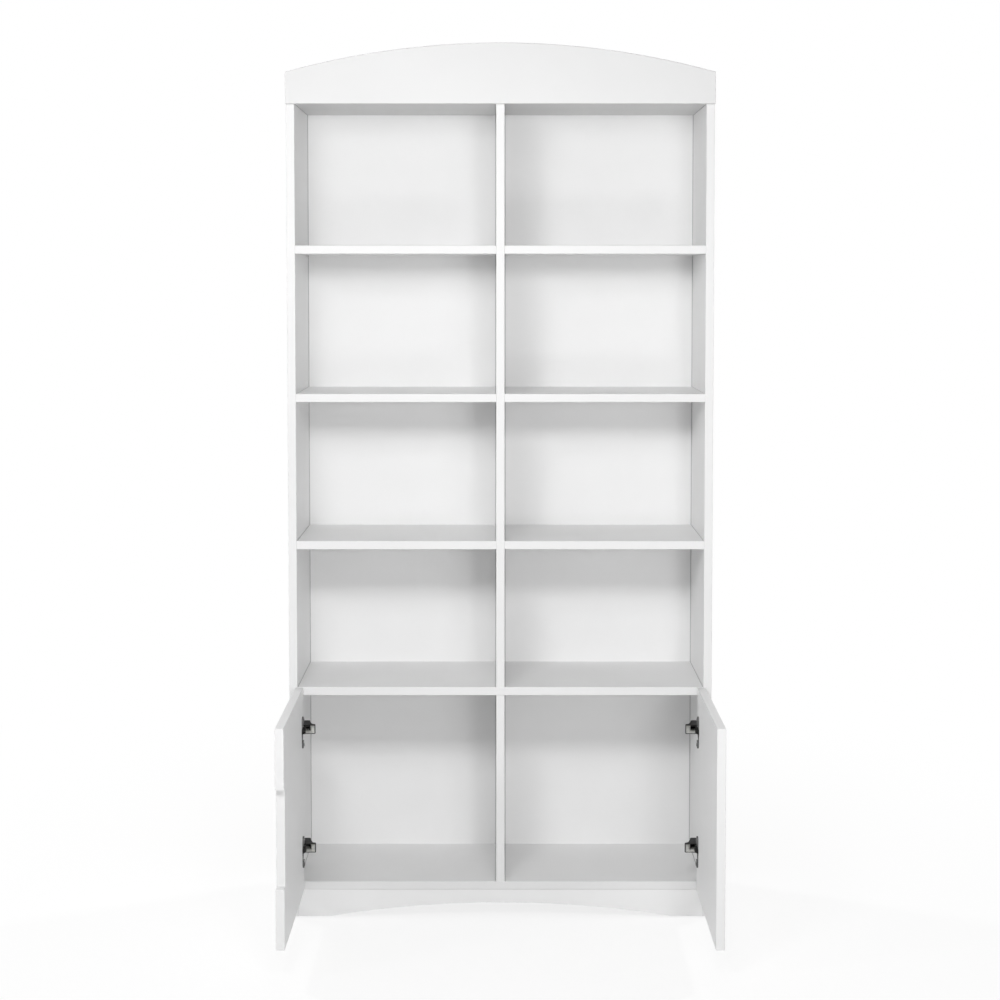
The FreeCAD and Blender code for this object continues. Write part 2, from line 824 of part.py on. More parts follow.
arm_end, door_end = hinge_pivots()
print("arm pivot", plan(arm_end), "door pivot", plan(door_end), "front plane", front_y)
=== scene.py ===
# %% [markdown]
# # A white bookcase with cabinet doors
#
# The object is a tall bookcase of white laminated board: eight open bays, an arched crown,
# an arched plinth and a low cabinet whose two doors stand open on concealed hinges.
# The boards and the hinge bodies are already modelled as solids, and they come in as a fixed frame.
# They could be modelled again here, but then every size would have to be kept right twice.
# So this lesson gives them light, a camera and finishes, and makes only the small turned pieces
# (screws, cams, nails, rivets) as surfaces worked out from formulas.

# %% Load the frame
import json
import math

import bmesh
import bpy
import numpy as np
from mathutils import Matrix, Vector


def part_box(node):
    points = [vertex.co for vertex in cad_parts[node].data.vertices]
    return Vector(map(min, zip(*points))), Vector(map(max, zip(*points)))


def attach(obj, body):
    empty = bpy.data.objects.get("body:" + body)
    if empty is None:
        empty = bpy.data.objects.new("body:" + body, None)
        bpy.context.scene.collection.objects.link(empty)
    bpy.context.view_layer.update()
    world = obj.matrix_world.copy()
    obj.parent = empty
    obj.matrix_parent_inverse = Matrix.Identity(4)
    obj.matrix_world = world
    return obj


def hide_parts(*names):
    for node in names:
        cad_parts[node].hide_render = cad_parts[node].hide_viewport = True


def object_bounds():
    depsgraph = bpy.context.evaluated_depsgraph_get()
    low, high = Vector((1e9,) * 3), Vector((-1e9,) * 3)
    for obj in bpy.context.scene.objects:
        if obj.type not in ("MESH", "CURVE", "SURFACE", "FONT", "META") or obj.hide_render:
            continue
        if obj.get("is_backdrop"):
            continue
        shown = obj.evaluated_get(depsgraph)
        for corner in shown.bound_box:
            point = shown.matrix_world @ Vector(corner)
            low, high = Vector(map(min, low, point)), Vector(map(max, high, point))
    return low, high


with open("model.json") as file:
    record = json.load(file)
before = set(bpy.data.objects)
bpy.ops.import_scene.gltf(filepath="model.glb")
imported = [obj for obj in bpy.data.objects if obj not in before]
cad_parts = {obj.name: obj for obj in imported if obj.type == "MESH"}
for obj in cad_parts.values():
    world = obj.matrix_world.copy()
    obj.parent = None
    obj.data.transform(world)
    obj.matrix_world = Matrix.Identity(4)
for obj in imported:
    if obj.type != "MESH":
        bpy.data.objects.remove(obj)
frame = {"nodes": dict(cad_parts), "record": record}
nodes = frame["nodes"]
cad_low, cad_high = (np.array(corner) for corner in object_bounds())
print("CAD box in metres:", cad_low.round(4), cad_high.round(4))

# %% [markdown]
# ## Measures
#
# The finishes need to know where the boards are: the plane in which all their front edges lie,
# and the faces of the uprights, where the shelves and the back meet them.
# These places could be typed in, but the boxes of the solids already hold them,
# and what is read from there stays right when a board changes.

# %% Measures from the solids
MM = 0.001
side_low, side_high = (np.array(corner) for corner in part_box("left_side_panel"))
front_plane = side_low[1]
inner_face = abs(side_high[0])
divider_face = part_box("upper_divider")[1][0]
board = side_high[0] - side_low[0]
print("front plane y", round(front_plane, 5), "board", round(board / MM, 2), "mm")
print("uprights' faces at |x|", round(divider_face, 4), "and", round(inner_face, 4))

# %% [markdown]
# ## Camera
#
# The picture is a product shot from straight ahead: the camera stands at chest height, 4.4 m away,
# and looks a little down. A view camera would keep it level and slide the lens down instead.
# A part of that slide is used here (the shift), and the rest is a small tilt, because the shift stays
# on in every other view and a large one would push the bookcase out of the frame.

# %% Camera
IMAGE_SIDE = 1000
CENTRE_COLUMN = 500.4
LENS = 82.99
SENSOR = 36.0
EYE_DISTANCE = 4.434
EYE_HEIGHT = 1.2465
TILT = 3.757
SHIFT = -0.07

camera_data = bpy.data.cameras.new("camera")
camera_data.lens = LENS
camera_data.sensor_width = SENSOR
camera_data.shift_x = 0.5 - CENTRE_COLUMN / IMAGE_SIDE
camera_data.shift_y = SHIFT
camera = bpy.data.objects.new("camera", camera_data)
camera.location = (0.0, front_plane - EYE_DISTANCE, EYE_HEIGHT)
camera.rotation_euler = (math.radians(90 - TILT), 0.0, 0.0)
bpy.context.scene.collection.objects.link(camera)
bpy.context.scene.camera = camera
print("camera at", np.round(camera.location, 3), "tilted", TILT, "degrees")

# %% [markdown]
# ## Light
#
# The bays are lit deep inside, and the shadow under a shelf grows from bay to bay towards the floor:
# under the top panel it covers 50 mm of the back, and under the cabinet top more than 200 mm.
# Similar triangles then put the lamps about 2 m in front, at the height of the top bay. The uprights' shadows
# on the back end 50 to 90 mm from each upright and are heavier on its right, so two wide, low soft boxes
# stand to the left of the middle and one just to the right. A low one and a far one on the right
# even out the rest, and one far out on the left lights the faces that look that way.
# One big soft lamp would be simpler, but it would wash out the shadows that show how deep the bays are.
# Two lamps behind light only the outer sides and the back, so that white stays white from all round.

# %% Soft boxes
SOFT_BOX_WIDTH, SOFT_BOX_HEIGHT = 0.4, 0.22
AIM = Vector((0.0, front_plane, (cad_low[2] + cad_high[2]) / 2))
# Place across, ahead of the front plane and up in metres, then the power in watts.
SOFT_BOXES = {
    "soft_box_middle": (0.16, 2.0, 1.55, 8.4),
    "soft_box_left": (-0.42, 2.0, 1.55, 6.8),
    "soft_box_high_left": (-0.62, 2.0, 1.8, 6.8),
    "soft_box_low_right": (0.55, 2.0, 0.6, 3.6),
    "soft_box_far_right": (0.8, 4.7, 1.3, 18.0),
    "soft_box_side_left": (-2.4, 1.7, 1.4, 9.5),
    "soft_box_rear_left": (-2.6, -2.2, 2.2, 48.0),
    "soft_box_rear_right": (2.6, -2.2, 2.2, 48.0),
}


def soft_box(name, across, ahead, height, power):
    """A wide, low lamp at a place round the bookcase, aimed at its middle and hidden from the camera."""
    data = bpy.data.lights.new(name, "AREA")
    data.shape = "RECTANGLE"
    data.size, data.size_y = SOFT_BOX_WIDTH, SOFT_BOX_HEIGHT
    data.energy = power
    lamp = bpy.data.objects.new(name, data)
    lamp.location = (across, front_plane - ahead, height)
    lamp.rotation_euler = (lamp.location - AIM).to_track_quat("Z", "Y").to_euler()
    lamp.visible_camera = False
    bpy.context.scene.collection.objects.link(lamp)
    print(name, "at", np.round(lamp.location, 2), power, "W")


for lamp_name, lamp_values in SOFT_BOXES.items():
    soft_box(lamp_name, *lamp_values)

# %% [markdown]
# ## Surround
#
# The picture has no visible room: everything behind the bookcase is pure white, but only for the eye.
# A white world at full strength would also flood the bays with light and take their shadows away.
# So the world has two strengths: rays from the camera, and rays mirrored in metal, find white,
# while the light that falls on the boards comes from a dim surround. The graph is wired by one helper,
# which makes a node and fills its sockets, with a link or with a typed value.

# %% World
SURROUND = 0.37
PURE_WHITE = (1.0, 1.0, 1.0, 1.0)


def add(tree, kind, settings=None, *plugs, **inputs):
    """A new node: settings are its own properties, plugs fill its sockets in order and inputs by name."""
    node = tree.nodes.new(kind)
    for key, value in (settings or {}).items():
        setattr(node, key, value)
    by_name = {key.replace("_", " "): value for key, value in inputs.items()}
    for key, value in [*enumerate(plugs), *by_name.items()]:
        if isinstance(value, bpy.types.NodeSocket):
            tree.links.new(value, node.inputs[key])
        else:
            node.inputs[key].default_value = value
    return node


def seen_directly(tree):
    """A factor that is 1 for camera, mirrored and transmitted rays, and 0 for the rays that light things."""
    ray = add(tree, "ShaderNodeLightPath").outputs
    larger = {"operation": "MAXIMUM"}
    first = add(tree, "ShaderNodeMath", larger, ray["Is Camera Ray"], ray["Is Glossy Ray"])
    return add(tree, "ShaderNodeMath", larger, first.outputs[0], ray["Is Transmission Ray"]).outputs[0]


world = bpy.data.worlds.new("surround")
bpy.context.scene.world = world
bpy.context.scene.view_settings.view_transform = "Standard"
world.use_nodes = True
sky = world.node_tree
sky.nodes.clear()
dim = add(sky, "ShaderNodeBackground", Color=PURE_WHITE, Strength=SURROUND)
bright = add(sky, "ShaderNodeBackground", Color=PURE_WHITE, Strength=1.0)
choose = add(sky, "ShaderNodeMixShader", None, seen_directly(sky), dim.outputs[0], bright.outputs[0])
add(sky, "ShaderNodeOutputWorld", Surface=choose.outputs[0])
print("surround strength", SURROUND, "for light and 1 for the eye")

# %% [markdown]
# ## Floor
#
# The floor is as white as the rest, but it keeps the bookcase's shadow, without which the plinth would float.
# A plain matt floor would turn grey away from the lamps. So for the eye it glows white, and near the bookcase
# a share of it is matt and takes the shadow; the share fades out with the distance r from the middle.

# %% Floor
FLOOR_REACH = 30.0
FLOOR_TONE = 0.8
SHADOW_SHARE = 0.2
SHADOW_NEAR, SHADOW_FAR = 0.6, 2.4


def flat_ground(reach):
    """A square in the plane z = 0: x = reach * u and y = reach * v, with u and v from -1 to 1."""
    u, v = np.meshgrid([-1.0, 1.0], [-1.0, 1.0])
    corners = np.stack([reach * u, reach * v, np.zeros_like(u)], axis=-1).reshape(-1, 3)
    mesh = bpy.data.meshes.new("floor")
    mesh.from_pydata(corners.tolist(), [], [(0, 1, 3, 2)])
    ground = bpy.data.objects.new("floor", mesh)
    bpy.context.scene.collection.objects.link(ground)
    return ground


def floor_finish():
    """Pale for the light; for the eye it glows white, with a matt share that fades from near to far."""
    paint = bpy.data.materials.new("floor_white")
    paint.use_nodes = True
    tree = paint.node_tree
    tree.nodes.clear()
    place = add(tree, "ShaderNodeTexCoord").outputs["Object"]
    away = add(tree, "ShaderNodeVectorMath", {"operation": "LENGTH"}, place).outputs["Value"]
    fade = (SHADOW_NEAR, SHADOW_FAR, SHADOW_SHARE, 0.0)
    share = add(tree, "ShaderNodeMapRange", {"interpolation_type": "SMOOTHSTEP"}, away, *fade)
    pale = add(tree, "ShaderNodeBsdfDiffuse", Color=(FLOOR_TONE, FLOOR_TONE, FLOOR_TONE, 1.0))
    matt = add(tree, "ShaderNodeBsdfDiffuse", Color=PURE_WHITE)
    glow = add(tree, "ShaderNodeEmission")
    eye = add(tree, "ShaderNodeMixShader", None, share.outputs[0], glow.outputs[0], matt.outputs[0])
    both = add(tree, "ShaderNodeMixShader", None, seen_directly(tree), pale.outputs[0], eye.outputs[0])
    add(tree, "ShaderNodeOutputMaterial", Surface=both.outputs[0])
    return paint


floor = flat_ground(FLOOR_REACH)
floor.data.materials.append(floor_finish())
floor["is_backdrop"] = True
print("floor", FLOOR_REACH, "m each way, shadow share", SHADOW_SHARE, "out to", SHADOW_FAR, "m")

# %% [markdown]
# ## Finishes and slots
#
# Each solid has a material slot in the record: laminate, hardboard, nickel and so on.
# A material could be picked by hand for every solid, but going by slot and by name dresses
# a whole set of boards in one line. A value that is the same all over a surface is typed straight
# into the shader, and only what varies gets a link.

# %% Starting and wearing a finish
slot_of = {part["node"]: part["material_slot"] for part in frame["record"]["subparts"]}
dressed = set()


def start_finish(name, colour, roughness, metallic=0.0):
    """A material with a Principled shader, with the given constants in its sockets."""
    finish = bpy.data.materials.new(name)
    finish.use_nodes = True
    shader = finish.node_tree.nodes["Principled BSDF"]
    shader.inputs["Base Color"].default_value = (*colour, 1.0)
    shader.inputs["Roughness"].default_value = roughness
    shader.inputs["Metallic"].default_value = metallic
    return finish, finish.node_tree, shader


def in_slot(slot):
    """The CAD nodes that the record gives to a slot."""
    return [name for name in slot_of if slot_of[name] == slot]


def dress(finish, names):
    """Gives a finish to CAD nodes by name."""
    for name in names:
        nodes[name].data.materials.clear()
        nodes[name].data.materials.append(finish)
    dressed.update(names)
    print(finish.name, "on", len(names), "nodes")


for slot_name in sorted(set(slot_of.values())):
    print("slot", slot_name, "has", len(in_slot(slot_name)), "nodes")

# %% [markdown]
# ## White laminate
#
# The boards are particle board with a white melamine skin. Close up the skin has a very fine pebbled
# grain that takes the mirror out of its gloss, and its white drifts a little from place to place.
# A photograph of laminate could be laid on, but it would repeat and would need a seam on every board.
# Noise has neither fault: one with cells of under a millimetre makes the grain,
# and one with cells of a hand's width makes the drift.

# %% Laminate skin
DRIFT_CELLS, DRIFT_DOWN, DRIFT_UP = 7.0, 0.012, 0.008
GRAIN_CELLS = 1500.0
GRAIN_DEPTH = 0.05 * MM
GRAIN_GLOSS = (0.38, 0.52)
GRAIN_STRENGTH = 0.35
SATIN = 0.45


def ramp(tree, factor, stops, how="LINEAR"):
    """A colour ramp on a factor; stops are (place, grey or colour)."""
    node = add(tree, "ShaderNodeValToRGB", Fac=factor)
    node.color_ramp.interpolation = how
    while len(node.color_ramp.elements) < len(stops):
        node.color_ramp.elements.new(1.0)
    for element, (place, colour) in zip(node.color_ramp.elements, stops):
        element.position = place
        element.color = (*np.broadcast_to(colour, 3), 1.0)
    return node.outputs["Color"]


def pebbled(tree, shader, place, cells, depth, gloss):
    """Fine grain: a noise of that many cells per metre lifts the surface and varies its gloss."""
    grain = add(tree, "ShaderNodeTexNoise", Vector=place, Scale=cells, Detail=2.0).outputs["Fac"]
    relief = add(tree, "ShaderNodeBump", Height=grain, Strength=GRAIN_STRENGTH, Distance=depth)
    rough = add(tree, "ShaderNodeMapRange", Value=grain, To_Min=gloss[0], To_Max=gloss[1])
    tree.links.new(relief.outputs[0], shader.inputs["Normal"])
    tree.links.new(rough.outputs[0], shader.inputs["Roughness"])


def drift(tree, place, white):
    """A slow change of white over a hand's width, from a little below it to a little above."""
    cloud = add(tree, "ShaderNodeTexNoise", Vector=place, Scale=DRIFT_CELLS, Detail=3.0).outputs["Fac"]
    return ramp(tree, cloud, [(0.3, white - DRIFT_DOWN), (0.7, white + DRIFT_UP)])


print("grain cells", round(1 / GRAIN_CELLS / MM, 2), "mm, drift cells", round(1 / DRIFT_CELLS / MM), "mm")

# %% [markdown]
# ## Edge bands and joints
#
# The front edges are covered by a thin glued band, so a hairline joint runs along each board just behind
# its front edge, and where a shelf or the back meets an upright, a dark hairline marks that joint.
# Both could be cut as grooves, but they are far thinner than the solids' own detail, so they are drawn:
# the first by a ramp on the depth y, the second by a ramp on |x|, which is near the upright's face there.
# Faces that look forward, the bands, are a touch greyer than the skin, partly by the band's own tone and
# partly as painted shade; the door tops and the top panel's underside take painted shade.

# %% Lines along the boards
# Faces that look forward take this tone: partly the band's own grey, partly painted shade.
BAND_TONE_AND_FRONT_SHADE = 0.897
BAND_LINE_TONE = 0.62
BAND = 0.6 * MM
RAMP_REACH = 10 * MM
JOINT = 1.6 * MM
JOINT_TONE = 0.58
# Where the direction's y stops being forward, and the shares of its z that count as down and up.
FORWARD_END, SIDEWAYS_START = -0.6, -0.4
DOWN_END, UP_START = 0.25, 0.75


def tint(tree, under, over):
    """Two colours multiplied, as a thin wash over paint."""
    node = add(tree, "ShaderNodeMixRGB", {"blend_type": "MULTIPLY"}, Fac=1.0, Color1=under, Color2=over)
    return node.outputs["Color"]


def not_forward(tree, coords):
    """A factor that is 0 where the surface looks forward and 1 elsewhere."""
    facing = add(tree, "ShaderNodeSeparateXYZ", Vector=coords.outputs["Normal"]).outputs["Y"]
    limits = {"From_Min": FORWARD_END, "From_Max": SIDEWAYS_START}
    return add(tree, "ShaderNodeMapRange", Value=facing, **limits).outputs[0]


def joints(tree, place, colour):
    """Darkens a colour in a hairline beside the uprights, at |x| = divider_face and |x| = inner_face."""
    across = add(tree, "ShaderNodeSeparateXYZ", Vector=place).outputs["X"]
    size = add(tree, "ShaderNodeMath", {"operation": "ABSOLUTE"}, across).outputs[0]
    span = add(tree, "ShaderNodeMapRange", Value=size, From_Max=inner_face).outputs[0]
    middle, joint = divider_face / inner_face, JOINT / inner_face
    stops = [(0.0, 1.0), (middle, JOINT_TONE), (middle + joint, 1.0), (1 - joint, JOINT_TONE)]
    return tint(tree, colour, ramp(tree, span, stops, "CONSTANT"))


def band_and_painted_shade(tree, coords, colour, painted_top_shade, painted_under_shade):
    """The glued band's own tone with painted shade where the surface looks forward, painted shade where it
    looks up or down, and a line behind it.
    """
    band = ramp(tree, not_forward(tree, coords), [(0.0, BAND_TONE_AND_FRONT_SHADE), (1.0, 1.0)])
    # Faces that look up or down take painted shade.
    facing = add(tree, "ShaderNodeSeparateXYZ", Vector=coords.outputs["Normal"]).outputs["Z"]
    upward = add(tree, "ShaderNodeMapRange", Value=facing, From_Min=-1.0, From_Max=1.0).outputs[0]
    level = ramp(tree, upward, [(0.0, painted_under_shade), (DOWN_END, 1.0), (UP_START, painted_top_shade)], "CONSTANT")
    depth = add(tree, "ShaderNodeSeparateXYZ", Vector=coords.outputs["Object"]).outputs["Y"]
    limits = {"From_Min": front_plane, "From_Max": front_plane + RAMP_REACH}
    span = add(tree, "ShaderNodeMapRange", Value=depth, **limits).outputs[0]
    joint = BAND / RAMP_REACH
    stops = [(0.0, 1.0), (joint, BAND_LINE_TONE), (joint * 1.5, 1.0)]
    line = ramp(tree, span, stops, "CONSTANT")
    return tint(tree, tint(tree, colour, band), tint(tree, level, line))


print("band line", round(BAND / 2 / MM, 2), "mm wide, joint line", round(JOINT / MM, 2), "mm wide")

# %% [markdown]
# ## Dressing the boards
#
# All boards have the same skin, but not the same lines. The uprights and the doors have a banded front edge,
# the level boards also meet the uprights, and the crown and the plinth are seen from their broad side
# and have no band there. One material with switches would do, but separate ones from one function
# stay simple to read.

# %% Boards
WHITE = 0.86
# The crown's white is set below the other boards' as painted shade on the same laminate.
CROWN_WHITE_PAINTED_SHADE = 0.715
# Painted shade on the doors' faces that look up and on the top panel's underside.
DOOR_TOP_PAINTED_SHADE = 0.85
TOP_UNDER_PAINTED_SHADE = 0.78


def laminate_finish(name, white=WHITE, banded=True, jointed=False, painted_top_shade=1.0, painted_under_shade=1.0):
    """White melamine; a banded board has a glued front edge, greyed partly by its own tone and partly by
    painted shade, and painted shade where it looks up or down; a jointed one meets the uprights.
    """
    finish, tree, shader = start_finish(name, (white,) * 3, SATIN)
    coords = add(tree, "ShaderNodeTexCoord")
    place = coords.outputs["Object"]
    colour = drift(tree, place, white)
    if jointed:
        where = {"Fac": not_forward(tree, coords), "Color1": colour, "Color2": joints(tree, place, colour)}
        colour = add(tree, "ShaderNodeMixRGB", **where).outputs["Color"]
    if banded:
        colour = band_and_painted_shade(tree, coords, colour, painted_top_shade, painted_under_shade)
    tree.links.new(colour, shader.inputs["Base Color"])
    pebbled(tree, shader, place, GRAIN_CELLS, GRAIN_DEPTH, GRAIN_GLOSS)
    return finish


uprights = [name for name in nodes if name.endswith(("_side_panel", "_divider"))]
level_boards = [name for name in nodes if "_shelf_" in name] + ["cabinet_top", "bottom_panel"]
dress(laminate_finish("white_laminate"), uprights)
# Painted shade on the door tops and on the top panel's underside.
dress(laminate_finish("door_laminate", painted_top_shade=DOOR_TOP_PAINTED_SHADE), in_slot("door_laminate"))
dress(laminate_finish("level_laminate", jointed=True), level_boards)
dress(laminate_finish("top_laminate_painted_shade", jointed=True, painted_under_shade=TOP_UNDER_PAINTED_SHADE), ["top_panel"])
# Painted shade over the crown's whole face.
dress(laminate_finish("crown_laminate_painted_shade", CROWN_WHITE_PAINTED_SHADE, banded=False), ["crown_board"])
dress(laminate_finish("plinth_laminate", banded=False), ["plinth_board"])

# %% [markdown]
# ## The back
#
# The back is thin hardboard. Its front has a white lacquer, whiter but duller than the laminate, and its rear
# is bare brown fibre board with the print of the wire screen it was pressed on.
# Two materials would need the mesh to be split into faces for each. Here the surface direction,
# in the object's own axes, tells the two sides apart, so one material does for the whole sheet.

# %% Hardboard
LACQUER, LACQUER_ROUGHNESS = 0.915, 0.55
FIBRE_DARK = (0.13, 0.075, 0.04)
FIBRE_LIGHT = (0.26, 0.16, 0.09)
FIBRE_CELLS = 260.0
SCREEN_WIRES = 190.0
SCREEN_DEPTH = 0.15 * MM


def hardboard_finish():
    """White lacquer where the sheet looks forward, pressed brown fibre where it looks back."""
    finish, tree, shader = start_finish("hardboard_back", (LACQUER,) * 3, LACQUER_ROUGHNESS)
    coords = add(tree, "ShaderNodeTexCoord")
    place = coords.outputs["Object"]
    facing = add(tree, "ShaderNodeSeparateXYZ", Vector=coords.outputs["Normal"]).outputs["Y"]
    rear = add(tree, "ShaderNodeMath", {"operation": "GREATER_THAN"}, facing, 0.5).outputs[0]
    front = joints(tree, place, drift(tree, place, LACQUER))
    fibres = add(tree, "ShaderNodeTexNoise", Vector=place, Scale=FIBRE_CELLS, Detail=6.0, Roughness=0.7)
    bare = ramp(tree, fibres.outputs["Fac"], [(0.35, FIBRE_DARK), (0.68, FIBRE_LIGHT)])
    both = add(tree, "ShaderNodeMixRGB", Fac=rear, Color1=front, Color2=bare)
    tree.links.new(both.outputs[0], shader.inputs["Base Color"])
    print_of = {"Vector": place, "Scale": SCREEN_WIRES}
    wires = [add(tree, "ShaderNodeTexWave", {"bands_direction": axis}, **print_of) for axis in "XZ"]
    weave = add(tree, "ShaderNodeMath", {"operation": "MULTIPLY"}, *(wire.outputs["Fac"] for wire in wires))
    relief = add(tree, "ShaderNodeBump", Height=weave.outputs[0], Strength=rear, Distance=SCREEN_DEPTH)
    tree.links.new(relief.outputs[0], shader.inputs["Normal"])
    return finish


dress(hardboard_finish(), in_slot("hardboard_back"))

# %% [markdown]
# ## Plated metal
#
# The hinges are pressed steel with a nickel plate, the cams are cast zinc, the nails bright wire
# and the wall angles zinc-plated steel. A single grey metal would look like plastic in the close views,
# because real plate is never quite even. So all of them are one graph with other numbers:
# a metal whose roughness wanders, with fine marks.

# %% Metals
MARK_STRENGTH, MARK_DEPTH = 0.15, 0.02 * MM
SHADE_LOW, SHADE_HIGH = 0.88, 1.08
# Colour, roughness from and to, marks per metre.
METALS = {
    "cam_zinc": ((0.5, 0.51, 0.53), (0.38, 0.55), 900.0),
    "nail_steel": ((0.5, 0.5, 0.52), (0.25, 0.4), 1500.0),
    # The hinge nickel is far darker than real nickel: a painted dark reflection.
    "hinge_nickel": ((0.15, 0.15, 0.15), (0.3, 0.42), 700.0),
    "angle_steel": ((0.55, 0.56, 0.58), (0.32, 0.48), 600.0),
}
# The links are nearly black: painted shade and dark reflection on nickel.
LINK_PAINTED_SHADE = ((0.035, 0.035, 0.036), (0.28, 0.4), 700.0)
DULL_ZINC = ((0.72, 0.72, 0.7), (0.4, 0.55), 700.0, 0.4)


def metal_finish(name, colour, rough, marks, metallic=1.0):
    """A metal with a wandering roughness and a faint relief of that many marks per metre."""
    finish, tree, shader = start_finish(name, colour, rough[0], metallic)
    place = add(tree, "ShaderNodeTexCoord").outputs["Object"]
    cloud = add(tree, "ShaderNodeTexNoise", Vector=place, Scale=marks, Detail=4.0).outputs["Fac"]
    gloss = add(tree, "ShaderNodeMapRange", Value=cloud, To_Min=rough[0], To_Max=rough[1])
    stops = [(0.3, np.multiply(colour, SHADE_LOW)), (0.7, np.multiply(colour, SHADE_HIGH))]
    shade = ramp(tree, cloud, stops)
    relief = add(tree, "ShaderNodeBump", Height=cloud, Strength=MARK_STRENGTH, Distance=MARK_DEPTH)
    tree.links.new(gloss.outputs[0], shader.inputs["Roughness"])
    tree.links.new(shade, shader.inputs["Base Color"])
    tree.links.new(relief.outputs[0], shader.inputs["Normal"])
    return finish


for metal, values in METALS.items():
    dress(metal_finish(metal, *values), in_slot(metal))
hinge_parts = ("_hinge_plate", "_hinge_link", "_hinge_arm")
plates, links, arms = ([name for name in nodes if name.endswith(part)] for part in hinge_parts)
dress(metal_finish("hinge_zinc", *DULL_ZINC), plates)
dress(metal_finish("hinge_dark_nickel", *LINK_PAINTED_SHADE), links)

# %% [markdown]
# ## The hinge arms
#
# An arm is a pressed channel, nickel-plated all over. Its outside wears a painted dark reflection, and its
# inside a painted bright reflection that also lifts its shade, which the eye sees from the front as a pale
# square in a dark frame.
# Painting the faces one by one would be lost whenever the arm changes. With p the way from the channel's
# middle line to a point, and n the surface direction there, a face looks into the channel where p . n < 0,
# and that needs no faces.

# %% Arms, dark outside and bright inside
# Painted dark reflection outside the channel and painted light inside it.
CHANNEL_PAINTED_DARK_REFLECTION = (0.012, 0.012, 0.012)
CHANNEL_PAINTED_LIGHT = (0.94, 0.94, 0.91)
CHANNEL_INSET = 1 * MM
ARM_ROUGHNESS, ARM_SHINE = 0.5, 0.15


def arm_finish(name):
    """Painted dark reflection on the outside of one arm and painted light inside, told apart by p . n."""
    low, high = (np.array(corner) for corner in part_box(name))
    finish, tree, shader = start_finish(name, CHANNEL_PAINTED_DARK_REFLECTION, ARM_ROUGHNESS)
    shader.inputs["Specular IOR Level"].default_value = ARM_SHINE
    coords = add(tree, "ShaderNodeTexCoord").outputs
    way = add(tree, "ShaderNodeVectorMath", {"operation": "SUBTRACT"}, coords["Object"], (low + high) / 2)
    level = add(tree, "ShaderNodeVectorMath", {"operation": "MULTIPLY"}, way.outputs[0], (1.0, 0.0, 1.0))
    turn = add(tree, "ShaderNodeVectorMath", {"operation": "DOT_PRODUCT"}, level.outputs[0], coords["Normal"])
    inside = add(tree, "ShaderNodeMath", {"operation": "LESS_THAN"}, turn.outputs["Value"], -CHANNEL_INSET)
    sides = {"Color1": (*CHANNEL_PAINTED_DARK_REFLECTION, 1.0), "Color2": (*CHANNEL_PAINTED_LIGHT, 1.0)}
    colour = add(tree, "ShaderNodeMixRGB", Fac=inside.outputs[0], **sides)
    tree.links.new(colour.outputs[0], shader.inputs["Base Color"])
    return finish


for arm in arms:
    dress(arm_finish(arm), [arm])

# %% [markdown]
# ## Beech and plastic
#
# The dowels are beech with a fine straight grain, and the glides are black plastic with a matt grain.
# Wood could be drawn with rings, but a dowel is too thin to show them, so a noise that is drawn out
# along the dowels is enough. The plastic takes the laminate's pebbled skin with finer cells.

# %% Dowels and glides
BEECH, BEECH_DARK, BEECH_LIGHT = (0.76, 0.6, 0.42), (0.6, 0.43, 0.27), (0.8, 0.65, 0.47)
MOULD_BLACK = (0.03, 0.03, 0.032)
BEECH_ROUGHNESS, MOULD_ROUGHNESS = 0.6, 0.5
BEECH_STRETCH = (40.0, 900.0, 900.0)
MOULD_CELLS, MOULD_DEPTH, MOULD_GLOSS = 2600.0, 0.04 * MM, (0.42, 0.6)


def beech_finish():
    """Straight beech grain: a noise drawn out along the dowels, which lie level."""
    finish, tree, shader = start_finish("dowel_beech", BEECH, BEECH_ROUGHNESS)
    place = add(tree, "ShaderNodeTexCoord").outputs["Object"]
    drawn = add(tree, "ShaderNodeMapping", Vector=place, Scale=BEECH_STRETCH)
    grain = add(tree, "ShaderNodeTexNoise", Vector=drawn.outputs[0], Scale=1.0, Detail=4.0)
    colour = ramp(tree, grain.outputs["Fac"], [(0.35, BEECH_DARK), (0.65, BEECH_LIGHT)])
    tree.links.new(colour, shader.inputs["Base Color"])
    return finish


def plastic_finish():
    """Black moulded plastic with a spark-eroded grain."""
    finish, tree, shader = start_finish("glide_plastic", MOULD_BLACK, MOULD_ROUGHNESS)
    place = add(tree, "ShaderNodeTexCoord").outputs["Object"]
    pebbled(tree, shader, place, MOULD_CELLS, MOULD_DEPTH, MOULD_GLOSS)
    return finish


dress(beech_finish(), in_slot("dowel_beech"))
dress(plastic_finish(), in_slot("glide_plastic"))
print("dressed", len(dressed), "of", len(nodes), "nodes")

# %% [markdown]
# ## Finding the separate solids of a node
#
# Screws, cams and nails come as groups: one node holds many separate solids. To put a finer piece
# in the place of each, their boxes are needed one by one. Blender can part a mesh by loose pieces,
# but that makes new objects, and a solid's mesh is left alone. Labels do the same with arrays:
# every point starts with a label of its own, and each triangle passes the least label of its corners on,
# until nothing changes and each solid has one label.

# %% Solids of a node


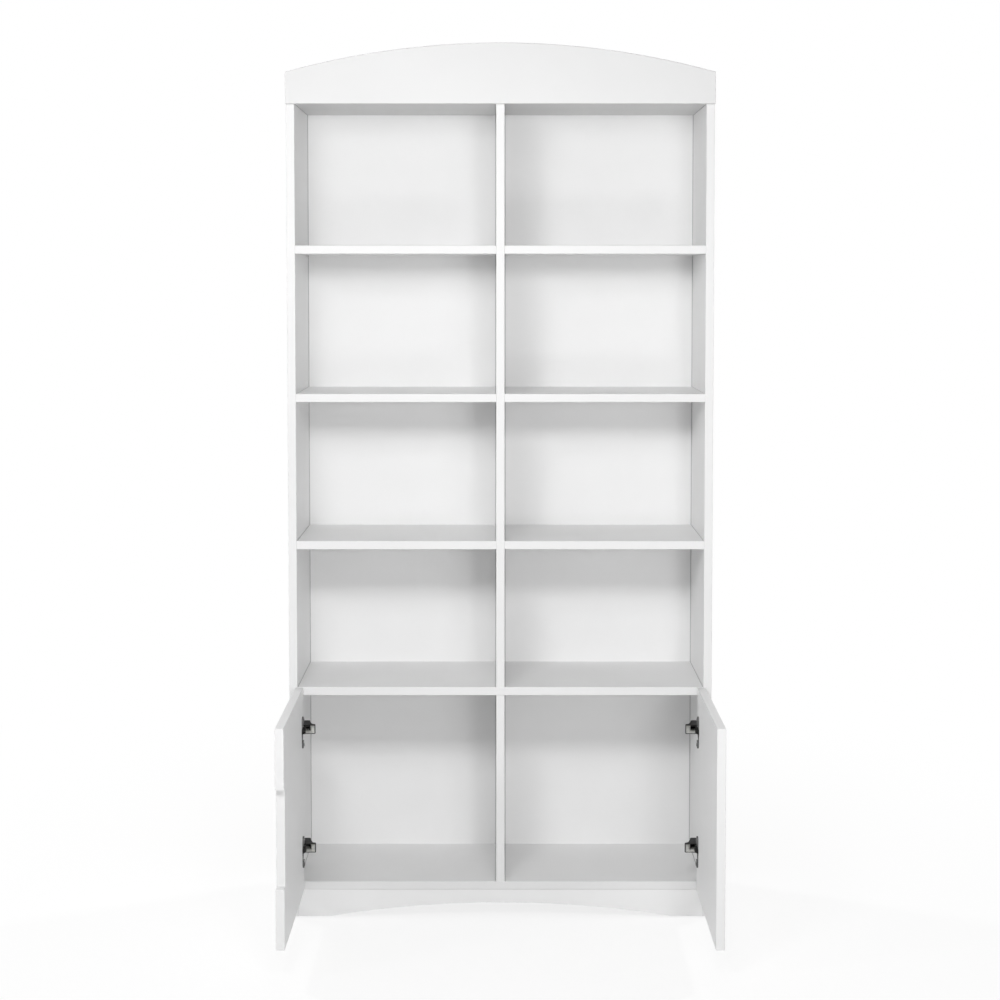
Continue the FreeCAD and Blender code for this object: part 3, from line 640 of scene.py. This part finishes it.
def solids_of(name):
    """Boxes (lows, highs) of the separate solids in a CAD node, in metres."""
    mesh = nodes[name].data
    points = np.empty(len(mesh.vertices) * 3)
    mesh.vertices.foreach_get("co", points)
    points = points.reshape(-1, 3)
    corners = np.empty(len(mesh.loops), dtype=np.int64)
    mesh.loops.foreach_get("vertex_index", corners)
    _, same = np.unique(points.round(6), axis=0, return_inverse=True)
    triangles = same.ravel()[corners].reshape(-1, 3)
    label = np.arange(same.max() + 1)
    settled = False
    while not settled:
        grown = label.copy()
        np.minimum.at(grown, triangles, label[triangles].min(axis=1)[:, None])
        grown = grown[grown]
        settled = np.array_equal(grown, label)
        label = grown
    owner = label[same.ravel()]
    groups = [points[owner == key] for key in np.unique(owner)]
    return np.array([g.min(axis=0) for g in groups]), np.array([g.max(axis=0) for g in groups])


for group in ("cam_housings", "back_nails", "hinge_plate_screws"):
    print(group, len(solids_of(group)[0]), "solids")

# %% [markdown]
# ## Turned pieces
#
# A screw, a cam or a rivet is round about an axis. Blender's Screw modifier could spin its outline,
# but a formula gives every point at once: at the angle u the profile point (r, h) lands on
# (r cos u, r sin u, h). A cross recess is then pressed into the head: where a point lies inside
# one of two crossed bars, its height is lowered.

# %% A turned surface
AROUND = 48


def turned(profile, recess=None):
    """Grid (around, along, 3) of rows (r, h, press) spun round h; recess(x, y) times press lowers a row."""
    rows = np.array(profile)
    u = np.linspace(0.0, 2 * np.pi, AROUND, endpoint=False)[:, None]
    x = rows[None, :, 0] * np.cos(u)
    y = rows[None, :, 0] * np.sin(u)
    h = np.broadcast_to(rows[None, :, 1], x.shape).copy()
    if recess is not None:
        h -= recess(x, y) * rows[None, :, 2]
    return np.stack([x, y, h], axis=-1)


def cross_recess(width, reach, depth):
    """Depth of a cross: two bars of that width and reach, with walls that slope over a third of the width."""

    def bar(a, b):
        side = np.clip((width / 2 - np.abs(a)) / (width / 3) + 1, 0, 1)
        end = np.clip((reach - np.abs(b)) / (width / 3) + 1, 0, 1)
        return side * end

    return lambda x, y: depth * np.maximum(bar(x, y), bar(y, x))


print("turned pieces have", AROUND, "points round")

# %% [markdown]
# ## Many copies as one mesh
#
# A group of fasteners stays one piece, as its node is. Copies could be linked objects, but then each
# would ride and export on its own. So all copies are worked out at once, as one array with the copies
# along its first axis, and each is turned into place by three directions: its own axis and two across it.

# %% Copies of a turned surface
MERGE = MM / 1000
SHARP_DEGREES = 35


def close_poles(mesh):
    """Merges the points of each pole, then shades smooth up to the sharp edges."""
    work = bmesh.new()
    work.from_mesh(mesh)
    bmesh.ops.remove_doubles(work, verts=work.verts, dist=MERGE)
    work.to_mesh(mesh)
    work.free()
    mesh.shade_smooth()
    mesh.set_sharp_from_angle(angle=math.radians(SHARP_DEGREES))


def copies(name, grid, origins, facing):
    """Mesh of one grid at each origin with its h axis along each facing: point = origin + grid . basis."""
    first = np.roll(facing, 1, axis=1)
    basis = np.stack([first, np.cross(facing, first), facing], axis=1)
    points = origins[:, None, None, :] + np.einsum("uvk,nkj->nuvj", grid, basis)
    index = np.arange(points[..., 0].size).reshape(points.shape[:3])
    a, b = index, np.roll(index, -1, axis=1)
    quads = np.stack([a[:, :, :-1], b[:, :, :-1], b[:, :, 1:], a[:, :, 1:]], axis=-1).reshape(-1, 4)
    mesh = bpy.data.meshes.new(name)
    mesh.from_pydata(points.reshape(-1, 3).tolist(), [], quads.tolist())
    close_poles(mesh)
    piece = bpy.data.objects.new(name, mesh)
    bpy.context.scene.collection.objects.link(piece)
    return piece


print("points within", MERGE / MM, "mm merge, edges are sharp over", SHARP_DEGREES, "degrees")

# %% [markdown]
# ## Refitting a group
#
# The finer pieces take the size and the place of the solids: the box of each solid gives its middle,
# its length along the direction that its head faces, and its radius across it. Typing the places in
# would work once, but reading them keeps every screw in its hole. The finish is the one that
# the node already wears.

# %% Refit a group of fasteners


def ends_of(lows, highs, facing):
    """The middle of the end face that each solid shows along its facing direction, and the longest reach."""
    reach = ((highs - lows) * np.abs(facing)).sum(axis=1, keepdims=True)
    return (lows + highs) / 2 + facing * reach / 2, float(reach.max())


def refit(node, body, facing_of, shape):
    """Puts shape(radius, length) in the place of each solid of a node, on the body that carries it."""
    lows, highs = solids_of(node)
    facing = facing_of((lows + highs) / 2)
    origins, length = ends_of(lows, highs, facing)
    wide = (highs - lows) * (1 - np.abs(facing))
    piece = copies(node + "_turned", shape(wide.max() / 2, length), origins, facing)
    piece.data.materials.append(nodes[node].data.materials[0])
    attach(piece, body)
    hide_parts(node)
    print(piece.name, len(lows), "copies,", len(piece.data.polygons), "faces")


def inward(centres):
    """Towards the middle of the bookcase, along X."""
    return np.stack([-np.sign(centres[:, 0]), 0 * centres[:, 0], 0 * centres[:, 0]], axis=-1)


def along(axis):
    """The same direction for every copy."""
    return lambda centres: np.tile(np.array(axis, dtype=float), (len(centres), 1))


print("groups to refit:", sum(name.endswith(("_screws", "_pins", "_nails", "_housings")) for name in nodes))

# %% [markdown]
# ## Screws
#
# The cups are screwed to the doors, the plates to the sides and the wall angles to the top,
# and a machine screw holds each arm on its plate. Their pan heads have a cross recess, which the solids
# leave out. It could be cut with a boolean, but pressing the dome's own points down gives the same cross
# without stray faces. The profile runs from the tip up the shank, out under the head, round its rim
# and over the dome to the middle.

# %% Pan-head screws
WOOD_SHANK, WOOD_HEAD = 1.75 * MM, 1.4 * MM
MACHINE_SHANK, MACHINE_HEAD = 2.2 * MM, 1.8 * MM
DOME_SHARE = 0.45
CROSS_WIDTH_SHARE, CROSS_REACH_SHARE, CROSS_DEPTH_SHARE = 0.26, 0.56, 0.62
DOME_RINGS = 22


def dome(radius, rise, rings):
    """Rows (r, h, press) of a shallow dome, h = -rise (r / radius)^2, from its rim to its middle."""
    r = radius * np.linspace(1.0, 0.0, rings)
    return np.stack([r, -rise * (r / radius) ** 2, np.ones(rings)], axis=-1)


def pan_screw(shank, head):
    """A maker of pan-head screws with that shank radius and head height; the head's top is at h = 0."""

    def shape(radius, length):
        stem = [(0, -length, 0), (shank, 2 * shank - length, 0), (shank, -head, 0), (radius, -head, 0)]
        rows = np.vstack([stem, dome(radius, DOME_SHARE * head, DOME_RINGS)])
        cross = (CROSS_WIDTH_SHARE * radius, CROSS_REACH_SHARE * radius, CROSS_DEPTH_SHARE * head)
        return turned(rows, cross_recess(*cross))

    return shape


wood_screw = pan_screw(WOOD_SHANK, WOOD_HEAD)
refit("left_cup_screws", "left_leaf", inward, wood_screw)
refit("right_cup_screws", "right_leaf", inward, wood_screw)
refit("hinge_plate_screws", "carcass", inward, wood_screw)
refit("hinge_clamp_screws", "carcass", inward, pan_screw(MACHINE_SHANK, MACHINE_HEAD))
refit("wall_angle_screws", "carcass", along((0, 0, 1)), wood_screw)

# %% [markdown]
# ## Cams
#
# The cams are zinc drums that a screwdriver turns, with a cross in a face that shows on the boards:
# on top of the top panel, and underneath the cabinet top and the bottom panel.
# A ring groove runs round the cross: a narrow bell curve of the radius, which needs no cutting either.

# %% Cams
CAM_RIM = 0.4 * MM
CAM_FACE_SHARE, CAM_RINGS = 0.92, 24
GROOVE_DEPTH, GROOVE_PLACE_SHARE, GROOVE_WIDTH_SHARE = 0.3 * MM, 0.78, 0.05
CAM_CROSS = (1.5 * MM, 3.6 * MM, 2.5 * MM)
top_of_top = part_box("top_panel")[1][2]


def cam_drum(radius, length):
    """A chamfered drum with a cross; its face dips by depth exp(-((r / radius - place) / width)^2)."""
    r = radius * np.linspace(CAM_FACE_SHARE, 0.0, CAM_RINGS)
    dip = GROOVE_DEPTH * np.exp(-(((r / radius - GROOVE_PLACE_SHARE) / GROOVE_WIDTH_SHARE) ** 2))
    face = np.stack([r, -dip, np.ones(CAM_RINGS)], axis=-1)
    inner = radius - CAM_RIM
    foot = [(0, -length, 0), (inner, -length, 0), (radius, CAM_RIM - length, 0)]
    wall = foot + [(radius, -CAM_RIM, 0), (inner, 0, 0)]
    return turned(np.vstack([wall, face]), cross_recess(*CAM_CROSS))


def cam_facing(centres):
    """Up on the top panel, down under the other boards."""
    high = centres[:, 2] > top_of_top - 2 * board
    return np.stack([0 * centres[:, 0], 0 * centres[:, 0], np.where(high, 1.0, -1.0)], axis=-1)


refit("cam_housings", "carcass", cam_facing, cam_drum)

# %% [markdown]
# ## Nails and rivets
#
# The nails of the back have flat heads, slightly crowned, and the hinge pins are riveted over at both ends.
# Both are the screws' dome again, with other sizes and without a cross, so they need no new surface.

# %% Nails and rivets
NAIL_WIRE, NAIL_HEAD, NAIL_CROWN, NAIL_RINGS = 0.8 * MM, 0.7 * MM, 0.25 * MM, 5
RIVET_SHARE, RIVET_RINGS = 0.35, 6


def flat_nail(radius, length):
    """A wire nail: a drawn point, a shank and a thin crowned head."""
    shoulder = [(NAIL_WIRE, -NAIL_HEAD, 0), (radius, -NAIL_HEAD, 0)]
    stem = [(0, -length, 0), (NAIL_WIRE, 2 * NAIL_WIRE - length, 0)] + shoulder
    return turned(np.vstack([stem, dome(radius, NAIL_CROWN, NAIL_RINGS)]))


def rivet(radius, length):
    """A pin with both ends rounded over: a dome at the top and the same dome mirrored at h = -length."""
    crown = dome(radius, RIVET_SHARE * radius, RIVET_RINGS)
    foot = crown[::-1] * (1, -1, 1) - (0, length, 0)
    return turned(np.vstack([foot, crown]))


refit("back_nails", "carcass", along((0, 1, 0)), flat_nail)
refit("hinge_arm_pins", "carcass", along((0, 0, 1)), rivet)
refit("left_cup_pins", "left_leaf", along((0, 0, 1)), rivet)
refit("right_cup_pins", "right_leaf", along((0, 0, 1)), rivet)
